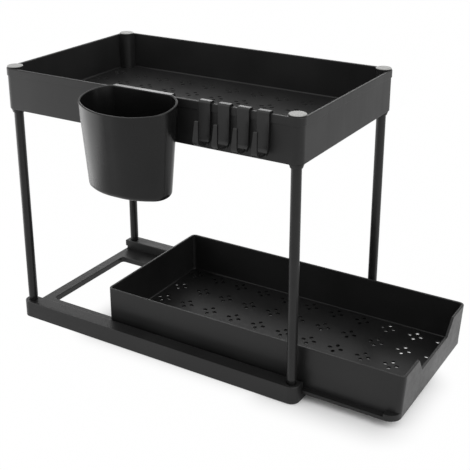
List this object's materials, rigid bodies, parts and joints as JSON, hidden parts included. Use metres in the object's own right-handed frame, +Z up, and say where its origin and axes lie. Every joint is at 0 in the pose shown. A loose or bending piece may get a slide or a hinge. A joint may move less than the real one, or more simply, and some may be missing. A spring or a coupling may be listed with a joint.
{
  "type": "under sink organizer",
  "caption": "Tiered black organizer: open basket on corner posts above a base with a pull-out drawer, an oval cup and J hooks hung on the rim.",
  "frame": {"origin": "on the floor, under the middle of the base", "axes": "+X the way the drawer pulls out, +Z up; the cup and the hooks hang on the -Y wall of the basket"},
  "size_m": [0.4514, 0.2633, 0.2923],
  "materials": {
    "base_plastic": "satin black moulding",
    "basket_plastic": "satin black moulding",
    "drawer_plastic": "satin black moulding",
    "cup_plastic": "satin black moulding",
    "hook_plastic": "satin black moulding",
    "post_tube": "satin black coated tube",
    "cap_plastic": "light grey moulding",
    "pad_rubber": "matt black"
  },
  "bodies": {
    "frame": {"base_frame": "base_plastic", "basket": "basket_plastic", "post_1": "post_tube", "post_2": "post_tube", "post_3": "post_tube", "post_4": "post_tube", "post_cap_1": "cap_plastic", "post_cap_2": "cap_plastic", "post_cap_3": "cap_plastic", "post_cap_4": "cap_plastic", "foot_pad_1": "pad_rubber", "foot_pad_2": "pad_rubber", "foot_pad_3": "pad_rubber", "foot_pad_4": "pad_rubber"},
    "drawer": {"drawer": "drawer_plastic"},
    "cup": {"hanging_cup": "cup_plastic"},
    "hook_1": {"hook_1": "hook_plastic"},
    "hook_2": {"hook_2": "hook_plastic"},
    "hook_3": {"hook_3": "hook_plastic"},
    "hook_4": {"hook_4": "hook_plastic"}
  },
  "joints": [
    {"name": "drawer_slide", "type": "slide", "parent": "frame", "child": "drawer", "axis": [1, 0, 0], "range_m": [-0.0842, 0.1052]},
    {"name": "cup_lift", "type": "slide", "parent": "frame", "child": "cup", "axis": [0, 0, 1], "range_m": [0, 0.06]},
    {"name": "hook_1_lift", "type": "slide", "parent": "frame", "child": "hook_1", "axis": [0, 0, 1], "range_m": [0, 0.06]},
    {"name": "hook_2_lift", "type": "slide", "parent": "frame", "child": "hook_2", "axis": [0, 0, 1], "range_m": [0, 0.06]},
    {"name": "hook_3_lift", "type": "slide", "parent": "frame", "child": "hook_3", "axis": [0, 0, 1], "range_m": [0, 0.06]},
    {"name": "hook_4_lift", "type": "slide", "parent": "frame", "child": "hook_4", "axis": [0, 0, 1], "range_m": [0, 0.06]}
  ]
}
